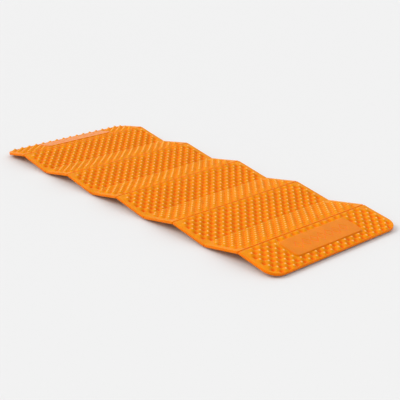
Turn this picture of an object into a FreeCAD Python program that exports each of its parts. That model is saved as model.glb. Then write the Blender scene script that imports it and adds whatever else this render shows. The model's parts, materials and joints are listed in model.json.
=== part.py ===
"""Folding foam sleeping pad: ten dimpled panels, nine living-hinge folds and two name plates.

World frame: +X across the pad, +Y from the near end to the far end, +Z up, millimetres.
The origin is the centre of the pad's footprint, on the ground.
Panel frame: x across, y from the panel's near fold line to its far one, z from the middle of the sheet.
"""
import FreeCAD, Part
import math
import os

# Size of the pad
PANELS = 10
PAD_WIDTH = 510.0
PANEL_LENGTH = 134.0
SHEET = 8.0
CORNER_RADIUS = 42.0
REST_TILT = 10.5

# Dimples: each is a bump on one face of the sheet with a pit behind it in the other face
ROWS = 8
FOLD_RIM = 2.0
ROW_PITCH = (PANEL_LENGTH - 2 * FOLD_RIM) / ROWS
COLUMN_PITCH = 14.6
LAST_COLUMN = 16
DIMPLE_HEIGHT = 6.0
DIMPLE_BASE_RADIUS = 6.7
DIMPLE_END_RADIUS = 3.3
CORNER_RIM = 2.5

# Folds: every hinge axis lies a little outside the face that closes on its neighbour
AXIS_OFFSET = 1.0
PANEL_GAP = 0.5
BEAD_RADIUS = 0.7
WEB_TAIL = 1.3
HINGE_LEVEL = SHEET / 2 + AXIS_OFFSET

# Name plate: a raised pad that takes the place of the dimples under it
PLATE_WIDTH = 268.0
PLATE_LENGTH = 77.0
PLATE_MIDDLE = 73.0
PLATE_HEIGHT = 4.0
PLATE_CORNER = 12.0
PLATE_DRAFT = 1.5
PLATE_EDGE_ROUNDING = 1.0

TOP = 1
BOTTOM = -1


def vector(x, y, z):
    return FreeCAD.Vector(x, y, z)


def rounded_outline(x_low, x_high, y_low, y_high, low_radius, high_radius, z):
    """A closed rectangle at height z, with a corner radius for its low-y end and one for its high-y end."""
    corners = [
        (x_low, y_low, 1, 0, low_radius),
        (x_high, y_low, 0, 1, low_radius),
        (x_high, y_high, -1, 0, high_radius),
        (x_low, y_high, 0, -1, high_radius),
    ]
    edges = []
    starts = []
    ends = []
    for x, y, out_x, out_y, radius in corners:
        # the outline arrives from the side that lies a quarter turn before the one it leaves along
        before = vector(x - out_y * radius, y + out_x * radius, z)
        after = vector(x + out_x * radius, y + out_y * radius, z)
        centre = vector(x + (out_x - out_y) * radius, y + (out_y + out_x) * radius, z)
        starts.append(before)
        ends.append(after)
        if radius > 0:
            toward_corner = (vector(x, y, z) - centre).normalize() * radius
            edges.append(Part.Arc(before, centre + toward_corner, after).toShape())
    for i in range(4):
        edges.append(Part.LineSegment(ends[i], starts[(i + 1) % 4]).toShape())
    return Part.Wire(Part.__sortEdges__(edges))


def sheet(round_near, round_far):
    """The flat foam sheet of one panel, stopping just short of its two fold lines."""
    outline = rounded_outline(
        -PAD_WIDTH / 2, PAD_WIDTH / 2, PANEL_GAP, PANEL_LENGTH - PANEL_GAP,
        CORNER_RADIUS if round_near else 0.0, CORNER_RADIUS if round_far else 0.0, -SHEET / 2,
    )
    return Part.Face(outline).extrude(vector(0, 0, SHEET))


def row_middle(row):
    return FOLD_RIM + (row + 0.5) * ROW_PITCH


def in_plain_corner(x, y):
    """Whether a dimple here would reach into one of the corners that every panel leaves plain."""
    from_end = min(y, PANEL_LENGTH - y)
    past_x = abs(x) - (PAD_WIDTH / 2 - CORNER_RADIUS)
    past_y = CORNER_RADIUS - from_end
    if past_x <= 0 or past_y <= 0:
        return False
    return math.hypot(past_x, past_y) > CORNER_RADIUS - DIMPLE_BASE_RADIUS - CORNER_RIM


def under_plate(x, from_free_end):
    """Whether a dimple here, at this distance from an end panel's free end, would touch the name plate."""
    beside = abs(x) - PLATE_WIDTH / 2
    beyond = abs(from_free_end - PLATE_MIDDLE) - PLATE_LENGTH / 2
    return max(beside, beyond) < DIMPLE_BASE_RADIUS


def dimple(x, y, face, outward):
    """A tapered round dimple on one face of the sheet: a bump if outward, otherwise the tool for a pit."""
    direction = face if outward else -face
    return Part.makeCone(
        DIMPLE_BASE_RADIUS, DIMPLE_END_RADIUS, DIMPLE_HEIGHT,
        vector(x, y, face * SHEET / 2), vector(0, 0, direction),
    )


def panel(number):
    """One panel in its own frame. The end panels are rounded, and carry a plate on their top face.

    The dimples are in a chequered pattern: the bumps of one face are the pits of the other.
    """
    near_end = number == 1
    far_end = number == PANELS
    bumps = []
    pits = []
    for row in range(ROWS):
        y = row_middle(row)
        from_free_end = PANEL_LENGTH - y if far_end else y
        for column in range(-LAST_COLUMN, LAST_COLUMN + 1):
            x = column * COLUMN_PITCH
            if in_plain_corner(x, y):
                continue
            raised_face = TOP if (row + column) % 2 == 0 else BOTTOM
            for face in (TOP, BOTTOM):
                if face == TOP and (near_end or far_end) and under_plate(x, from_free_end):
                    continue
                outward = face == raised_face
                (bumps if outward else pits).append(dimple(x, y, face, outward))
    solid = sheet(near_end, far_end).fuse(bumps).cut(pits)
    return solid.Solids[0]


def fold_web(side):
    """The thin web at a panel's far fold line: a bead round the hinge axis and a tail on the panel's face.

    side says which face it joins: TOP at a valley fold, BOTTOM at a ridge fold.
    """
    def point(y, outside_face):
        return vector(-PAD_WIDTH / 2, PANEL_LENGTH + y, side * (SHEET / 2 + outside_face))

    tail_inner = point(-WEB_TAIL, 0)
    tail_outer = point(-WEB_TAIL, AXIS_OFFSET + BEAD_RADIUS)
    panel_edge = point(-PANEL_GAP, 0)
    bead_inner = point(0, AXIS_OFFSET - BEAD_RADIUS)
    bead_tip = point(BEAD_RADIUS, AXIS_OFFSET)
    bead_outer = point(0, AXIS_OFFSET + BEAD_RADIUS)
    edges = [
        Part.LineSegment(tail_inner, panel_edge).toShape(),
        Part.LineSegment(panel_edge, bead_inner).toShape(),
        Part.Arc(bead_inner, bead_tip, bead_outer).toShape(),
        Part.LineSegment(bead_outer, tail_outer).toShape(),
        Part.LineSegment(tail_outer, tail_inner).toShape(),
    ]
    return Part.Face(Part.Wire(edges)).extrude(vector(PAD_WIDTH, 0, 0))


def name_plate(far_end):
    """A raised plate with drafted sides and a softened top edge, a little lower than the bumps around it."""
    half_width = PLATE_WIDTH / 2
    middle = PANEL_LENGTH - PLATE_MIDDLE if far_end else PLATE_MIDDLE
    y_low = middle - PLATE_LENGTH / 2
    y_high = middle + PLATE_LENGTH / 2
    foot = rounded_outline(-half_width, half_width, y_low, y_high, PLATE_CORNER, PLATE_CORNER, SHEET / 2)
    top_level = SHEET / 2 + PLATE_HEIGHT
    top = rounded_outline(
        -half_width + PLATE_DRAFT, half_width - PLATE_DRAFT, y_low + PLATE_DRAFT, y_high - PLATE_DRAFT,
        PLATE_CORNER - PLATE_DRAFT, PLATE_CORNER - PLATE_DRAFT, top_level,
    )
    plate = Part.makeLoft([foot, top], True, True)
    top_edges = [edge for edge in plate.Edges if edge.BoundBox.ZMin > top_level - 0.01]
    return plate.makeFillet(PLATE_EDGE_ROUNDING, top_edges)


def fold_is_ridge(fold):
    return fold % 2 == 1


def valley_axis_height():
    """Height of the valley axes, from the bumps beside a valley standing on the ground."""
    tilt = math.radians(REST_TILT)
    along = row_middle(0) - DIMPLE_END_RADIUS
    below_axis = HINGE_LEVEL + SHEET / 2 + DIMPLE_HEIGHT
    return below_axis * math.cos(tilt) - along * math.sin(tilt)


def fold_axis(fold):
    """World place of a fold's hinge axis, at the middle of the pad's width. Fold 5 is the pad's middle."""
    tilt = math.radians(REST_TILT)
    run = PANEL_LENGTH * math.cos(tilt) + 2 * HINGE_LEVEL * math.sin(tilt)
    rise = PANEL_LENGTH * math.sin(tilt) - 2 * HINGE_LEVEL * math.cos(tilt)
    height = valley_axis_height() + (rise if fold_is_ridge(fold) else 0.0)
    return vector(0, (fold - PANELS / 2) * run, height)


def place_on_panel(shape, number):
    """Moves a shape from the frame of panel number to the world, hung from the panel's near fold axis."""
    near_fold = number - 1
    near_is_ridge = fold_is_ridge(near_fold)
    axis_level = -HINGE_LEVEL if near_is_ridge else HINGE_LEVEL
    tilt = -REST_TILT if near_is_ridge else REST_TILT
    to_axis = FreeCAD.Placement(vector(0, 0, -axis_level), FreeCAD.Rotation())
    to_world = FreeCAD.Placement(fold_axis(near_fold), FreeCAD.Rotation(vector(1, 0, 0), tilt))
    return shape.transformed((to_world * to_axis).toMatrix(), True)


def build():
    """All nodes of the pad, by name."""
    nodes = {}
    for number in range(1, PANELS + 1):
        nodes[f"panel_{number:02d}"] = place_on_panel(panel(number), number)
    for fold in range(1, PANELS):
        side = BOTTOM if fold_is_ridge(fold) else TOP
        nodes[f"fold_web_{fold}"] = place_on_panel(fold_web(side), fold)
    nodes["name_plate_near"] = place_on_panel(name_plate(False), 1)
    nodes["name_plate_far"] = place_on_panel(name_plate(True), PANELS)
    return nodes


os.makedirs("parts", exist_ok=True)
for name, shape in build().items():
    if not shape.isValid() or len(shape.Solids) != 1:
        raise RuntimeError(f"{name} is not one valid solid")
    shape.exportStep(f"parts/{name}.step")
    box = shape.BoundBox
    print(f"{name}: volume {shape.Volume / 1000:.1f} cm3, z {box.ZMin:.2f} to {box.ZMax:.2f},"
          f" y {box.YMin:.2f} to {box.YMax:.2f}")
for fold in range(1, PANELS):
    print(f"fold {fold} axis at y {fold_axis(fold).y:.4f}, z {fold_axis(fold).z:.4f}")
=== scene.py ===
"""Looks of the folding foam sleeping pad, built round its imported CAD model. Metres, in the CAD's frame."""
import json
import math

import bpy
import numpy as np
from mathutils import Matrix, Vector


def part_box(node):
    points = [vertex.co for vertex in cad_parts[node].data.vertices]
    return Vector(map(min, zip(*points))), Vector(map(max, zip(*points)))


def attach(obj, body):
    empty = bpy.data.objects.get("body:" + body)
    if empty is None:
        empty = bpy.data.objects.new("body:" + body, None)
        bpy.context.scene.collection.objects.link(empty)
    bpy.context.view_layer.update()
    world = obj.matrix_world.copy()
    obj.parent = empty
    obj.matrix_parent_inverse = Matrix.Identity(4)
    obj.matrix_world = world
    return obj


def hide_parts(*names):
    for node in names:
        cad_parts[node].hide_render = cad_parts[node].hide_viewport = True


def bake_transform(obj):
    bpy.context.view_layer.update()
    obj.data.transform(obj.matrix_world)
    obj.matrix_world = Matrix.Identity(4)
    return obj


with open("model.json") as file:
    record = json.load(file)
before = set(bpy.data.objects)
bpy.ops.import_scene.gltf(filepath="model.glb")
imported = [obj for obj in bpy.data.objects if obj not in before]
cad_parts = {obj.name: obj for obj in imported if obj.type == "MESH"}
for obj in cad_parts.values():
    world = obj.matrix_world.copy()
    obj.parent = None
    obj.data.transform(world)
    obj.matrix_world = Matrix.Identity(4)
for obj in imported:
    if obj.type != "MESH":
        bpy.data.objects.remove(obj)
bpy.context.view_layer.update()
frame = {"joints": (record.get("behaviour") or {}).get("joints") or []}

MM = 0.001

# The pad's sizes, as in the CAD
PANELS = 10
SHEET = 8.0 * MM
CORNER_RADIUS = 42.0 * MM
ROWS = 8
FOLD_RIM = 2.0 * MM
COLUMN_PITCH = 14.6 * MM
LAST_COLUMN = 16
DIMPLE_HEIGHT = 6.0 * MM
DIMPLE_BASE_RADIUS = 6.7 * MM
CORNER_RIM = 2.5 * MM
AXIS_OFFSET = 1.0 * MM
PANEL_GAP = 0.5 * MM
HINGE_LEVEL = SHEET / 2 + AXIS_OFFSET
PLATE_WIDTH = 268.0 * MM
PLATE_LENGTH = 77.0 * MM
PLATE_MIDDLE = 73.0 * MM
PLATE_HEIGHT = 4.0 * MM
PLATE_CORNER = 12.0 * MM
PLATE_DRAFT = 1.5 * MM
TOP = 1
BOTTOM = -1

# Finish of the panels, only in the visual model. They reach closer to the fold lines than the CAD's.
FOLD_END_GAP = 0.15 * MM
EDGE_ROUNDING = 1.2 * MM
EDGE_STEPS = 3
BUMP_SHARPNESS = 1.5
PIT_SHARPNESS = 0.9
FOLD_LIP = 4.0 * MM
# Painted shade: the cut walls of the panels take this value on the relief ramp, towards the pit colour, so
# they are darker
EDGE_WALL_SHADE = -0.5

# The top bumps beside a ridge fold are lower, and reach full height over this span, counted in rows
RIDGE_ROW_HEIGHT = 0.6
RIDGE_RISE_START = 0.3
RIDGE_RISE_END = 1.4

# Unevenness of the sheet: a broad wave that shifts from panel to panel, and a slanted one.
# Waves are (x, y) radians a metre, and the fade is a share of the panel's length.
UNEVENNESS = 0.25 * MM
UNEVEN_FADE = 0.25
BROAD_WAVE = (23.0, 31.0)
BROAD_SHIFT = (1.7, 0.9)
SLANTED_WAVE = (47.0, -19.0)
SLANTED_SHARE = 0.6

# Mesh of the panels. At a free end, the first rows follow this many degrees of the corner arcs, and the
# columns start to bend this far inside those arcs.
STEPS_PER_PITCH = 8
RIM_COLUMNS = 3
CORNER_ROWS = 3
CORNER_TURN = 19.0
CORNER_EASE = 12.0 * MM

# Fold strips: a hair proud of the sheet at the fold, and sunk into it towards their long edges.
# They reach this far to both sides, cross from one panel to the other within WEB_MEETING of the fold,
# and bend within a share of their reach.
WEB_REACH = 2.7 * MM
WEB_THICKNESS = 1.3 * MM
WEB_PROUD = 0.15 * MM
WEB_SINK = 0.4 * MM
WEB_SINK_START = 0.6
WEB_END_TAPER = 0.75
WEB_MEETING = 1.5 * MM
WEB_POINTS = 18
WEB_STATIONS = 120

# Finish of the plates
PLATE_ROUNDING = 1.0 * MM
PLATE_CROWN = 0.35 * MM
PLATE_SUNK = 0.6 * MM
PLATE_FLARE = 0.6 * MM
PLATE_MESH_STEP = 1.4 * MM
PLATE_CORNER_ROWS = 10

# Lozenges pressed into the plates. The line's widths are shares of a lozenge's half size.
MARK_DEPTH = 0.8 * MM
MARK_PITCH = 30.0 * MM
LAST_MARK = 3
MARK_HALF_WIDTH = 12.0 * MM
MARK_HALF_LENGTH = 16.0 * MM
MARK_LINE_EDGE = 0.20
MARK_LINE_CORE = 0.09
# Painted shade: the pressed lines take this value on the relief ramp, towards the pit colour, so they are
# darker
MARK_GROOVE_SHADE = -0.6

# Colours of the foam, linear, and where they stand on its relief ramp, from the deepest pit to the peaks.
# The pit colours are painted shade, deeper and redder in the pits, and the peak colours are painted
# highlights, pale peach on the bump tips.
PANEL_BASE = (0.78, 0.264, 0.0)
PANEL_PIT_SHADE = (0.85, 0.162, 0.0)
PANEL_PEAK_HIGHLIGHT = (0.90, 0.530, 0.165)
PLATE_BASE = (0.75, 0.212, 0.0)
PLATE_PIT_SHADE = (0.83, 0.160, 0.0)
PLATE_PEAK_HIGHLIGHT = (0.85, 0.260, 0.010)
PIT_SHADE_STOP = 0.15
BASE_STOPS = (0.55, 0.80)
HIGHLIGHT_STOP = 0.97

# Studio and camera
WORLD_STRENGTH = 0.86
FLOOR_HALF = 20.0
FLOOR_DARK = 0.728
FLOOR_LIGHT = 0.758
VIEW_AZIMUTH = math.radians(-41.2)
VIEW_ELEVATION = math.radians(21.2)
VIEW_DISTANCE = 2.718
VIEW_LENS = 80.5
AIM = Vector((-0.056, -0.157, 0.020))


# ---------------------------------------------------------------- where the panels are

def fold_axis(fold):
    """(y, z) of a fold's hinge axis. The two free ends continue the zigzag of the folds."""
    if fold == 0:
        near, next_one = fold_axis(1), fold_axis(2)
        return 2 * near[0] - next_one[0], next_one[1]
    if fold == PANELS:
        far, one_before = fold_axis(PANELS - 1), fold_axis(PANELS - 2)
        return 2 * far[0] - one_before[0], one_before[1]
    joint = next(j for j in frame["joints"] if j["name"] == f"fold_{fold}")
    return joint["pos_m"][1], joint["pos_m"][2]


def axis_span():
    """Distance between the axes at a panel's two ends."""
    near, far = fold_axis(1), fold_axis(2)
    return math.hypot(far[0] - near[0], far[1] - near[1])


PANEL_LENGTH = math.sqrt(axis_span() ** 2 - (2 * HINGE_LEVEL) ** 2)
ROW_PITCH = (PANEL_LENGTH - 2 * FOLD_RIM) / ROWS
PAD_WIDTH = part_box("panel_05")[1].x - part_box("panel_05")[0].x


def panel_place(number):
    """(y, z, tilt) of a panel's own frame: x across, y from its near fold, z from its sheet's middle."""
    near, far = fold_axis(number - 1), fold_axis(number)
    near_level = -HINGE_LEVEL if number % 2 == 0 else HINGE_LEVEL
    slope_in_panel = math.atan2(-2 * near_level, PANEL_LENGTH)
    tilt = math.atan2(far[1] - near[1], far[0] - near[0]) - slope_in_panel
    y = near[0] + near_level * math.sin(tilt)
    z = near[1] - near_level * math.cos(tilt)
    return y, z, tilt


def to_world(points, number):
    """Points of a panel's own frame, as an array of rows, in the world."""
    origin_y, origin_z, tilt = panel_place(number)
    x, y, z = points[:, 0], points[:, 1], points[:, 2]
    world_y = origin_y + y * math.cos(tilt) - z * math.sin(tilt)
    world_z = origin_z + y * math.sin(tilt) + z * math.cos(tilt)
    return np.stack([x, world_y, world_z], axis=1)


# ---------------------------------------------------------------- mesh helpers

def smoothstep(low, high, value):
    """0 at low and 1 at high, with a smooth rise between. Low may be the larger one."""
    t = np.clip((value - low) / (high - low), 0.0, 1.0)
    return t * t * (3.0 - 2.0 * t)


def make_piece(name, points, faces, material, relief=None):
    """A smooth mesh object. relief is a value for each point that the foam material reads, 0 if left out."""
    mesh = bpy.data.meshes.new(name)
    mesh.from_pydata(points.tolist(), [], faces)
    mesh.polygons.foreach_set("use_smooth", [True] * len(mesh.polygons))
    attribute = mesh.attributes.new("relief", "FLOAT", "POINT")
    attribute.data.foreach_set("value", np.zeros(len(points)) if relief is None else relief)
    mesh.materials.append(material)
    mesh.update()
    piece = bpy.data.objects.new(name, mesh)
    bpy.context.scene.collection.objects.link(piece)
    return piece


def grid_faces(rows, columns, first, facing_up):
    """Quads over a grid of points, whose indices start at first."""
    faces = []
    for j in range(rows - 1):
        for i in range(columns - 1):
            a = first + j * columns + i
            quad = [a, a + 1, a + columns + 1, a + columns]
            faces.append(quad if facing_up else quad[::-1])
    return faces


def border_loop(rows, columns):
    """Indices of a grid's border, anticlockwise from above."""
    near = list(range(columns))
    right = [j * columns + columns - 1 for j in range(1, rows)]
    far = [(rows - 1) * columns + i for i in range(columns - 2, -1, -1)]
    left = [j * columns for j in range(rows - 2, 0, -1)]
    return near + right + far + left


def outward_normals(loop_xy):
    """Unit normals of an anticlockwise outline, at its points."""
    edge = np.roll(loop_xy, -1, axis=0) - loop_xy
    edge /= np.linalg.norm(edge, axis=1)[:, None]
    tangent = edge + np.roll(edge, 1, axis=0)
    tangent /= np.linalg.norm(tangent, axis=1)[:, None]
    return np.stack([tangent[:, 1], -tangent[:, 0]], axis=1)


def closed_sheet(grid_x, grid_y, top, bottom, wall):
    """Points and faces of a closed slab: a top grid, a bottom grid and a wall round their border.

    wall lists (offset, share, drop) rings from top to bottom. A ring's height is between the top and the
    bottom by share, less drop.
    """
    rows, columns = grid_x.shape
    count = rows * columns
    xy = np.stack([grid_x.ravel(), grid_y.ravel()], axis=1)
    points = [np.column_stack([xy, top.ravel()]), np.column_stack([xy, bottom.ravel()])]
    faces = grid_faces(rows, columns, 0, True) + grid_faces(rows, columns, count, False)
    loop = border_loop(rows, columns)
    normals = outward_normals(xy[loop])
    top_z, bottom_z = top.ravel()[loop], bottom.ravel()[loop]
    rings = [loop]
    next_index = 2 * count
    for offset, share, drop in wall:
        ring_xy = xy[loop] + normals * offset
        points.append(np.column_stack([ring_xy, top_z * (1 - share) + bottom_z * share - drop]))
        rings.append(list(range(next_index, next_index + len(loop))))
        next_index += len(loop)
    rings.append([count + i for i in loop])
    for upper, lower in zip(rings, rings[1:]):
        for i in range(len(loop)):
            n = (i + 1) % len(loop)
            faces.append([upper[i], lower[i], lower[n], upper[n]])
    return np.concatenate(points), faces


def rounded_wall(radius, steps):
    """Wall rings that round both edges of a sheet."""
    angles = [math.pi / 2 * (i + 1) / steps for i in range(steps)]
    upper = [(radius * math.sin(a), 0.0, radius * (1 - math.cos(a))) for a in angles]
    lower = [(radius * math.sin(a), 1.0, -radius * (1 - math.cos(a))) for a in reversed(angles)]
    return upper + lower


def end_rows(inset, radius, turn, count):
    """Distances from a rounded end that follow the first part of its corner arcs evenly, turn in degrees."""
    return [inset + radius * (1 - math.cos(math.radians(turn) * i / count)) for i in range(count)]


def narrowed_grid(x, y, half, keep, half_at):
    """A grid whose columns beyond keep are squeezed in, so that its half width is half_at for each y."""
    grid_x, grid_y = np.meshgrid(x, y)
    beyond = np.maximum(np.abs(grid_x) - keep, 0)
    squeezed = keep + beyond * (half_at[:, None] - keep) / (half - keep)
    return np.where(beyond > 0, np.sign(grid_x) * squeezed, grid_x), grid_y


# ---------------------------------------------------------------- panels

def site_is_free(column, row, number, face):
    """Whether a panel has a dimple at these places on this face. Arrays of column and row numbers."""
    x = column * COLUMN_PITCH
    y = FOLD_RIM + (row + 0.5) * ROW_PITCH
    past_x = np.maximum(np.abs(x) - (PAD_WIDTH / 2 - CORNER_RADIUS), 0)
    past_y = np.maximum(CORNER_RADIUS - np.minimum(y, PANEL_LENGTH - y), 0)
    reach = CORNER_RADIUS - DIMPLE_BASE_RADIUS - CORNER_RIM
    in_plain_corner = (past_x > 0) & (past_y > 0) & (np.hypot(past_x, past_y) > reach)
    free = (np.abs(column) <= LAST_COLUMN) & (row >= 0) & (row < ROWS) & ~in_plain_corner
    if number in (1, PANELS) and face == TOP:
        from_free_end = y if number == 1 else PANEL_LENGTH - y
        beside = np.abs(x) - PLATE_WIDTH / 2
        beyond = np.abs(from_free_end - PLATE_MIDDLE) - PLATE_LENGTH / 2
        free &= np.maximum(beside, beyond) >= DIMPLE_BASE_RADIUS
    return free


def egg_crate(x, y, number, face):
    """Height of the egg-crate wave outward from a face, from -1 in a pit to 1 on a bump."""
    column = np.round(x / COLUMN_PITCH)
    row = np.floor((y - FOLD_RIM) / ROW_PITCH)
    wave = face * np.cos(np.pi * x / COLUMN_PITCH) * np.sin(np.pi * (y - FOLD_RIM) / ROW_PITCH)
    bump = np.maximum(wave, 0) ** BUMP_SHARPNESS
    pit = np.maximum(-wave, 0) ** PIT_SHARPNESS
    from_end = np.minimum(y, PANEL_LENGTH - y) - FOLD_RIM
    height = smoothstep(0, FOLD_LIP, from_end)
    if face == TOP:
        from_ridge = y if number % 2 == 0 else PANEL_LENGTH - y
        full = smoothstep(RIDGE_RISE_START * ROW_PITCH, RIDGE_RISE_END * ROW_PITCH, from_ridge)
        height *= RIDGE_ROW_HEIGHT + (1 - RIDGE_ROW_HEIGHT) * full
    return (bump - pit) * height * site_is_free(column, row, number, face)


def waviness(x, y, number):
    """The slight unevenness of a soft foam sheet. It dies away at the ends, where folds hold the panel."""
    across = np.sin(BROAD_WAVE[0] * x + BROAD_SHIFT[0] * number)
    along = np.sin(BROAD_WAVE[1] * y + BROAD_SHIFT[1] * number)
    slanted = np.sin(SLANTED_WAVE[0] * x + SLANTED_WAVE[1] * y)
    fade = UNEVEN_FADE * PANEL_LENGTH
    away = smoothstep(0, fade, y) * smoothstep(0, fade, PANEL_LENGTH - y)
    return UNEVENNESS * (across * along + SLANTED_SHARE * slanted) * away


def panel_grid(number):
    """Grid of places over a panel, inset from its outline by the edge rounding."""
    half = PAD_WIDTH / 2 - EDGE_ROUNDING
    corner = CORNER_RADIUS - EDGE_ROUNDING
    step = ROW_PITCH / STEPS_PER_PITCH
    free_inset = PANEL_GAP + EDGE_ROUNDING
    fold_inset = FOLD_END_GAP + EDGE_ROUNDING
    rounded = end_rows(free_inset, corner, CORNER_TURN, CORNER_ROWS)
    near = rounded if number == 1 else [fold_inset]
    far = rounded if number == PANELS else [fold_inset]
    crate_y = np.linspace(FOLD_RIM + step, PANEL_LENGTH - FOLD_RIM - step, ROWS * STEPS_PER_PITCH - 1)
    y = np.array(near + list(crate_y) + [PANEL_LENGTH - d for d in reversed(far)])

    crate_edge = (LAST_COLUMN + 0.5) * COLUMN_PITCH
    crate_x = np.linspace(-crate_edge, crate_edge, (2 * LAST_COLUMN + 1) * STEPS_PER_PITCH + 1)
    rim = np.linspace(crate_edge, half, RIM_COLUMNS + 1)[1:]
    x = np.concatenate([-rim[::-1], crate_x, rim])

    half_at = np.full(len(y), half)
    for is_round, distance in ((number == 1, y), (number == PANELS, PANEL_LENGTH - y)):
        if is_round:
            past = np.clip(corner - (distance - free_inset), 0, corner)
            half_at = half_at - corner + np.sqrt(corner ** 2 - past ** 2)
    return narrowed_grid(x, y, half, half - CORNER_RADIUS - CORNER_EASE, half_at)


def make_panel(number, material):
    """One panel: the sheet with its bumps and pits on both faces, and rounded edges."""
    grid_x, grid_y = panel_grid(number)
    uneven = waviness(grid_x, grid_y, number)
    wave_top = egg_crate(grid_x, grid_y, number, TOP)
    wave_bottom = egg_crate(grid_x, grid_y, number, BOTTOM)
    top = SHEET / 2 + DIMPLE_HEIGHT * wave_top + uneven
    bottom = -SHEET / 2 - DIMPLE_HEIGHT * wave_bottom + uneven
    points, faces = closed_sheet(grid_x, grid_y, top, bottom, rounded_wall(EDGE_ROUNDING, EDGE_STEPS))
    # The walls take the painted edge shade; the top and bottom grids take their waves
    relief = np.full(len(points), EDGE_WALL_SHADE)
    relief[: wave_top.size] = wave_top.ravel()
    relief[wave_top.size : 2 * wave_top.size] = wave_bottom.ravel()
    name = f"foam_panel_{number:02d}"
    piece = make_piece(name, to_world(points, number), faces, material, relief)
    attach(piece, f"panel_{number:02d}")
    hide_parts(f"panel_{number:02d}")


# ---------------------------------------------------------------- webs

def web_section():
    """A strip's closed section, as places along the pad and outward: its outer side, then its inner one."""
    along = np.linspace(-WEB_REACH, WEB_REACH, WEB_POINTS)
    outer = WEB_PROUD - WEB_SINK * smoothstep(WEB_SINK_START * WEB_REACH, WEB_REACH, np.abs(along))
    inner = outer - WEB_THICKNESS
    return np.concatenate([along, along[::-1]]), np.concatenate([outer, inner[::-1]])


def prism_faces(stations, size, flip):
    """Faces of a closed prism whose points come station by station, size at each."""
    faces = []
    for k in range(stations - 1):
        for i in range(size):
            n = (i + 1) % size
            faces.append([k * size + i, k * size + n, (k + 1) * size + n, (k + 1) * size + i])
    start_cap = list(range(size))
    end_cap = [(stations - 1) * size + i for i in range(size)]
    faces += [start_cap[::-1], end_cap]
    return [face[::-1] for face in faces] if flip else faces


def make_web(fold, material):
    """The thin strip that joins two panels across a fold: on the underside of a ridge, on the top of a
    valley.
    """
    side = BOTTOM if fold % 2 == 1 else TOP
    along, outward = web_section()
    share = smoothstep(-WEB_MEETING, WEB_MEETING, along)[:, None]
    half = PAD_WIDTH / 2 - EDGE_ROUNDING
    stations = np.linspace(-half, half, WEB_STATIONS)
    points = []
    for x in stations:
        taper = WEB_END_TAPER if x in (stations[0], stations[-1]) else 1.0
        across = np.full(len(along), x)
        height = side * (SHEET / 2 + outward * taper)
        on_near = np.column_stack([across, PANEL_LENGTH + along, height])
        on_far = np.column_stack([across, along, height])
        points.append(to_world(on_near, fold) * (1 - share) + to_world(on_far, fold + 1) * share)
    faces = prism_faces(len(stations), len(along), side == TOP)
    piece = make_piece(f"fold_strip_{fold}", np.concatenate(points), faces, material)
    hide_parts(f"fold_web_{fold}")
    y, z = fold_axis(fold)
    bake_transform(piece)


# ---------------------------------------------------------------- plates

def pressed_marks(x, y):
    """Where the plate's face has its row of plain lozenge outlines, from 0 to 1."""
    nearest = np.clip(np.round(x / MARK_PITCH), -LAST_MARK, LAST_MARK) * MARK_PITCH
    lozenge = np.abs(x - nearest) / MARK_HALF_WIDTH + np.abs(y) / MARK_HALF_LENGTH
    return smoothstep(MARK_LINE_EDGE, MARK_LINE_CORE, np.abs(lozenge - 1.0))


def plate_wall():
    """Wall rings of a plate: the rounded rim, the drafted sides, and a foot that flares into the sheet."""
    rim_at_30_degrees = (0.5 * PLATE_ROUNDING, 0.0, 0.13 * PLATE_ROUNDING)
    rim_at_60_degrees = (0.87 * PLATE_ROUNDING, 0.0, 0.5 * PLATE_ROUNDING)
    side_top = (PLATE_ROUNDING + 0.2 * MM, 0.0, 1.1 * PLATE_ROUNDING)
    side_middle = (PLATE_ROUNDING + 0.5 * PLATE_DRAFT, 0.0, 0.5 * PLATE_HEIGHT)
    side_foot = (PLATE_ROUNDING + PLATE_DRAFT, 0.0, PLATE_HEIGHT - 0.5 * MM)
    in_sheet = (PLATE_ROUNDING + PLATE_DRAFT + PLATE_FLARE, 1.0, -0.5 * PLATE_SUNK)
    return [rim_at_30_degrees, rim_at_60_degrees, side_top, side_middle, side_foot, in_sheet]


def plate_grid(half_x, half_y):
    """Grid of places over a plate's face, within its rounded rim."""
    corner = PLATE_CORNER - PLATE_DRAFT - PLATE_ROUNDING
    near = np.array(end_rows(0.0, corner, 90.0, PLATE_CORNER_ROWS))
    straight = 2 * half_y - 2 * corner
    middle = np.linspace(corner, 2 * half_y - corner, int(straight / PLATE_MESH_STEP) + 1)
    y = np.concatenate([near, middle, 2 * half_y - near[::-1]]) - half_y
    x = np.linspace(-half_x, half_x, int(2 * half_x / PLATE_MESH_STEP) + 1)
    past = np.clip(np.abs(y) - (half_y - corner), 0, corner)
    half_at = half_x - corner + np.sqrt(corner ** 2 - past ** 2)
    return narrowed_grid(x, y, half_x, half_x - 2 * corner, half_at)


def make_plate(end, number, material):
    """The raised plate of an end panel, with drafted sides, a rounded rim and a softly crowned face."""
    half_x = PLATE_WIDTH / 2 - PLATE_DRAFT - PLATE_ROUNDING
    half_y = PLATE_LENGTH / 2 - PLATE_DRAFT - PLATE_ROUNDING
    grid_x, grid_y = plate_grid(half_x, half_y)
    crown = -PLATE_CROWN * ((grid_x / half_x) ** 2 + (grid_y / half_y) ** 2) / 2
    marks = pressed_marks(grid_x, grid_y)
    top = SHEET / 2 + PLATE_HEIGHT + crown - MARK_DEPTH * marks
    bottom = np.full_like(top, SHEET / 2 - PLATE_SUNK)
    points, faces = closed_sheet(grid_x, grid_y, top, bottom, plate_wall())
    points[:, 1] += PLATE_MIDDLE if number == 1 else PANEL_LENGTH - PLATE_MIDDLE
    relief = np.zeros(len(points))
    # Painted shade in the pressed lines
    relief[: marks.size] = MARK_GROOVE_SHADE * marks.ravel()
    piece = make_piece(f"foam_plate_{end}", to_world(points, number), faces, material, relief)
    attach(piece, f"panel_{number:02d}")
    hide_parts(f"name_plate_{end}")


# ---------------------------------------------------------------- materials

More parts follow.
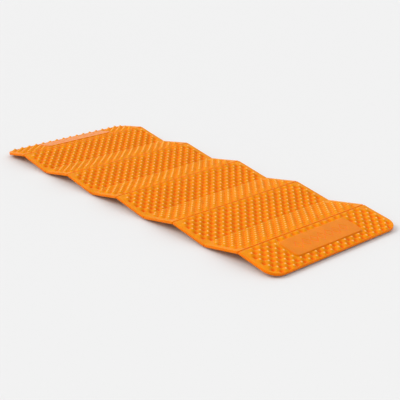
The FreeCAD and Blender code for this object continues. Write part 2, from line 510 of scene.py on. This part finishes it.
def add_texture(tree, kind, place, scale, detail=None):
    """A texture node over the places that a vector socket gives. A scale is in cells or waves a metre."""
    texture = tree.nodes.new(kind)
    texture.inputs["Scale"].default_value = scale
    if detail is not None:
        texture.inputs["Detail"].default_value = detail
    tree.links.new(place, texture.inputs["Vector"])
    return texture


def map_range(tree, value, low, high, from_low=0.0, from_high=1.0):
    """A socket that maps the value socket's span from_low to from_high onto low to high."""
    node = tree.nodes.new("ShaderNodeMapRange")
    node.inputs["From Min"].default_value = from_low
    node.inputs["From Max"].default_value = from_high
    node.inputs["To Min"].default_value = low
    node.inputs["To Max"].default_value = high
    tree.links.new(value, node.inputs["Value"])
    return node.outputs["Result"]


def relief_colour(tree, base, pit, peak_highlight):
    """A colour socket that goes by the relief attribute: painted pit shade at -1, base on the slopes,
    painted peak highlight at 1.
    """
    relief = tree.nodes.new("ShaderNodeAttribute")
    relief.attribute_name = "relief"
    by_relief = tree.nodes.new("ShaderNodeValToRGB")
    ramp = by_relief.color_ramp
    # The pit colour is painted shade and the peak colour a painted highlight
    ramp.elements[0].position = PIT_SHADE_STOP
    ramp.elements[0].color = (*pit, 1.0)
    ramp.elements[1].position = HIGHLIGHT_STOP
    ramp.elements[1].color = (*peak_highlight, 1.0)
    for position in BASE_STOPS:
        ramp.elements.new(position).color = (*base, 1.0)
    height = map_range(tree, relief.outputs["Fac"], low=0.0, high=1.0, from_low=-1.0)
    tree.links.new(height, by_relief.inputs["Fac"])
    return by_relief.outputs["Color"]


def add_bump(tree, height, strength, distance):
    """A bump node over a height socket."""
    bump = tree.nodes.new("ShaderNodeBump")
    bump.inputs["Strength"].default_value = strength
    bump.inputs["Distance"].default_value = distance
    tree.links.new(height, bump.inputs["Height"])
    return bump


def foam_material(name, base, pit, peak_highlight, grain, sheen):
    """Closed-cell foam: colour by relief, with painted shade in the pits and painted highlights on the
    peaks, and slow mottling, fine cell grain, uneven roughness and sheen.
    """
    material = bpy.data.materials.new(name)
    material.use_nodes = True
    tree = material.node_tree
    nodes, links = tree.nodes, tree.links
    shader = nodes["Principled BSDF"]
    place = nodes.new("ShaderNodeTexCoord").outputs["Object"]
    mottle = add_texture(tree, "ShaderNodeTexNoise", place, scale=28.0, detail=5.0)
    cells = add_texture(tree, "ShaderNodeTexVoronoi", place, scale=620.0)
    dust = add_texture(tree, "ShaderNodeTexNoise", place, scale=1500.0, detail=3.0)

    mottle_shade = map_range(tree, mottle.outputs["Fac"], low=0.93, high=1.06, from_low=0.3, from_high=0.7)
    cell_shade = map_range(tree, cells.outputs["Distance"], low=0.95, high=1.05)
    both = nodes.new("ShaderNodeMath")
    both.operation = "MULTIPLY"
    links.new(mottle_shade, both.inputs[0])
    links.new(cell_shade, both.inputs[1])
    colour = nodes.new("ShaderNodeVectorMath")
    colour.operation = "SCALE"
    # Painted shade in the pits and painted highlights on the bump tips, by the relief ramp
    links.new(relief_colour(tree, base, pit, peak_highlight), colour.inputs[0])
    links.new(both.outputs["Value"], colour.inputs["Scale"])
    links.new(colour.outputs["Vector"], shader.inputs["Base Color"])
    links.new(map_range(tree, dust.outputs["Fac"], low=0.34, high=0.54), shader.inputs["Roughness"])

    cell_bump = add_bump(tree, cells.outputs["Distance"], strength=grain, distance=0.3 * MM)
    dust_bump = add_bump(tree, dust.outputs["Fac"], strength=0.6 * grain, distance=0.15 * MM)
    links.new(cell_bump.outputs["Normal"], dust_bump.inputs["Normal"])
    links.new(dust_bump.outputs["Normal"], shader.inputs["Normal"])

    shader.inputs["Specular IOR Level"].default_value = 0.07
    shader.inputs["Sheen Weight"].default_value = sheen
    shader.inputs["Sheen Roughness"].default_value = 0.35
    shader.inputs["Subsurface Weight"].default_value = 0.3
    shader.inputs["Subsurface Radius"].default_value = (1.0, 0.25, 0.05)
    shader.inputs["Subsurface Scale"].default_value = 3.0 * MM
    return material


def floor_material():
    """Pale matte paper, very slightly uneven in tone."""
    material = bpy.data.materials.new("studio_floor")
    material.use_nodes = True
    tree = material.node_tree
    shader = tree.nodes["Principled BSDF"]
    shader.inputs["Roughness"].default_value = 0.9
    shader.inputs["Specular IOR Level"].default_value = 0.1
    paper = tree.nodes.new("ShaderNodeTexNoise")
    paper.inputs["Scale"].default_value = 3.0
    tone = map_range(tree, paper.outputs["Fac"], FLOOR_DARK, FLOOR_LIGHT)
    tree.links.new(tone, shader.inputs["Base Color"])
    return material


# ---------------------------------------------------------------- studio and camera

def direction(azimuth, elevation):
    """Unit vector from the pad towards a viewer or a light."""
    flat = math.cos(elevation)
    return Vector((math.sin(azimuth) * flat, -math.cos(azimuth) * flat, math.sin(elevation)))


def make_camera():
    """The camera, at the photograph's viewing angle."""
    camera = bpy.data.objects.new("camera", bpy.data.cameras.new("camera"))
    camera.data.lens = VIEW_LENS
    camera.data.clip_end = 100.0
    back = direction(VIEW_AZIMUTH, VIEW_ELEVATION)
    camera.location = AIM + back * VIEW_DISTANCE
    camera.rotation_euler = back.to_track_quat("Z", "Y").to_euler()
    bpy.context.scene.collection.objects.link(camera)
    bpy.context.scene.camera = camera


def make_sun(name, azimuth, elevation, strength, angle):
    """A soft sun. angle is how many degrees of the sky it fills, so how soft its shadows are."""
    light = bpy.data.lights.new(name, "SUN")
    light.energy = strength
    light.angle = math.radians(angle)
    sun = bpy.data.objects.new(name, light)
    towards = direction(math.radians(azimuth), math.radians(elevation))
    sun.rotation_euler = towards.to_track_quat("Z", "Y").to_euler()
    bpy.context.scene.collection.objects.link(sun)


def make_studio():
    """White surroundings, a wide ceiling light, a key light from behind on the left, and the floor."""
    world = bpy.data.worlds.new("studio")
    world.use_nodes = True
    world.node_tree.nodes["Background"].inputs["Color"].default_value = (1.0, 1.0, 1.0, 1.0)
    world.node_tree.nodes["Background"].inputs["Strength"].default_value = WORLD_STRENGTH
    bpy.context.scene.world = world
    bpy.context.scene.view_settings.view_transform = "Standard"
    make_sun("ceiling", azimuth=180.0, elevation=80.0, strength=0.30, angle=130.0)
    make_sun("key", azimuth=-135.0, elevation=40.0, strength=1.20, angle=28.0)
    corners = [(-1, -1, 0), (1, -1, 0), (1, 1, 0), (-1, 1, 0)]
    floor = make_piece("floor", FLOOR_HALF * np.array(corners), [[0, 1, 2, 3]], floor_material())


# ---------------------------------------------------------------- the scene

make_camera()
make_studio()
panel_foam = foam_material("panel_foam", PANEL_BASE, PANEL_PIT_SHADE, PANEL_PEAK_HIGHLIGHT, grain=0.30, sheen=0.0)
web_foam = foam_material("web_foam", PANEL_BASE, PANEL_PIT_SHADE, PANEL_PEAK_HIGHLIGHT, grain=0.25, sheen=0.0)
plate_foam = foam_material("plate_foam", PLATE_BASE, PLATE_PIT_SHADE, PLATE_PEAK_HIGHLIGHT, grain=0.25, sheen=0.22)
for panel_number in range(1, PANELS + 1):
    make_panel(panel_number, panel_foam)
for fold_number in range(1, PANELS):
    make_web(fold_number, web_foam)
make_plate("near", 1, plate_foam)
make_plate("far", PANELS, plate_foam)

bpy.context.view_layer.update()
